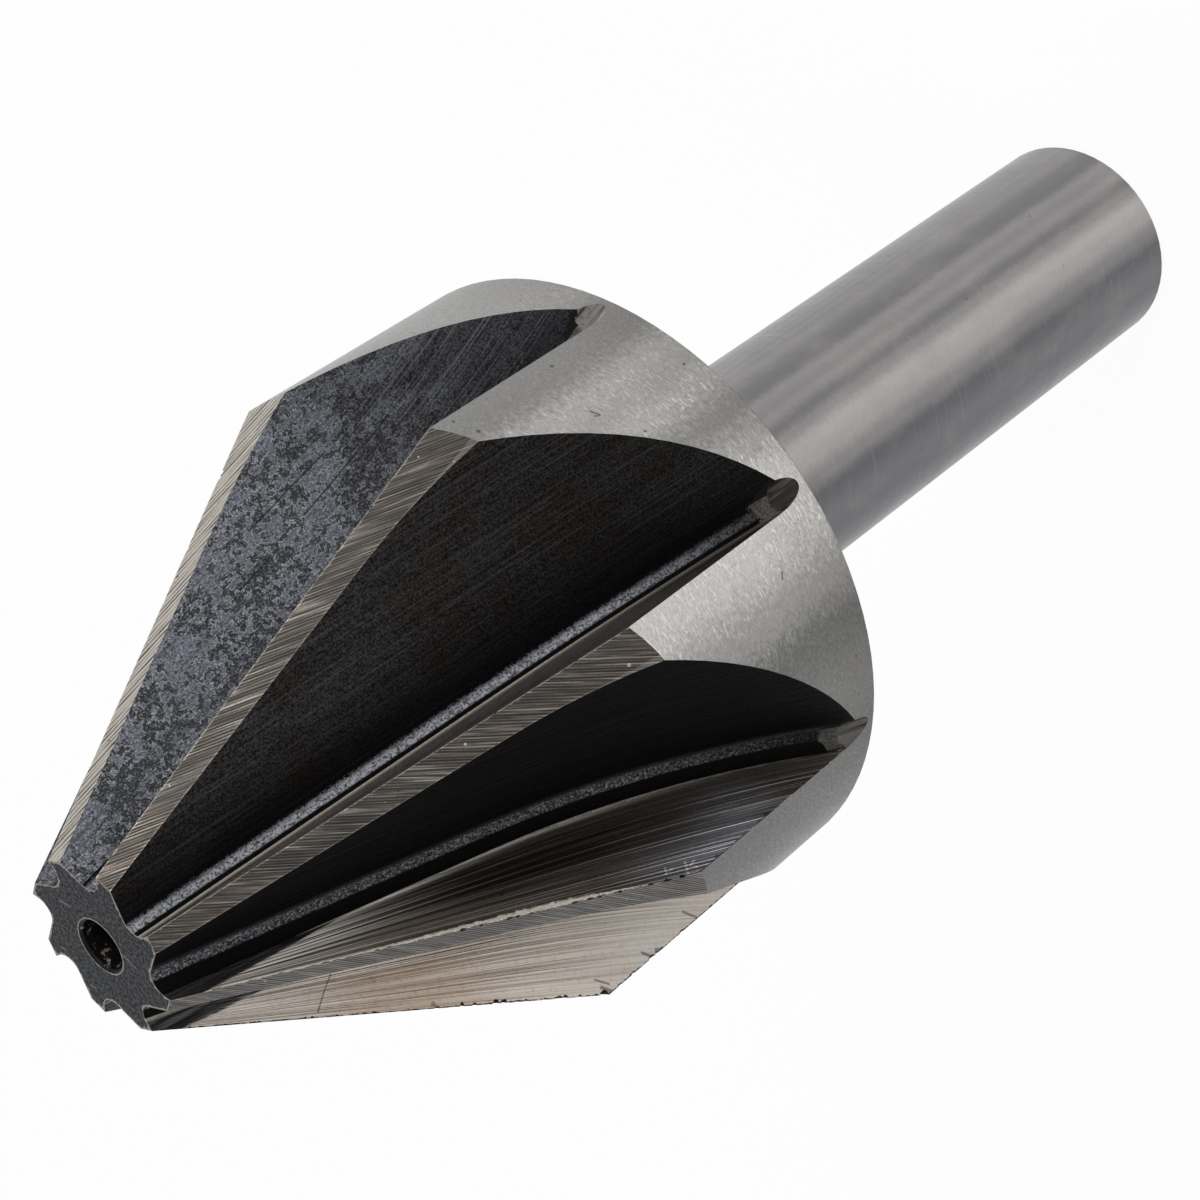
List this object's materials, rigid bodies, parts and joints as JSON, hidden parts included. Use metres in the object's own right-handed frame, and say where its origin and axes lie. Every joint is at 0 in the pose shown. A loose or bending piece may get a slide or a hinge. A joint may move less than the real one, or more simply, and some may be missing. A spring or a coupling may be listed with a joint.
{
  "type": "countersink bit",
  "caption": "Straight-shank countersink bit: a short cylinder and a 60 degree cone with straight tapering flutes, and a small centre hole in its flat tip.",
  "frame": {"origin": "centre of the shank's end face", "axes": "+Z along the axis of rotation, from the shank's end to the tip; +X along the radius that the first cutting edge lies beside"},
  "size_m": [0.032, 0.032, 0.0755],
  "materials": {
    "tool_steel": "ground steel, bare and dull, with darkened milled flutes"
  },
  "bodies": {
    "root": {"countersink_bit": "tool_steel"}
  },
  "joints": []
}
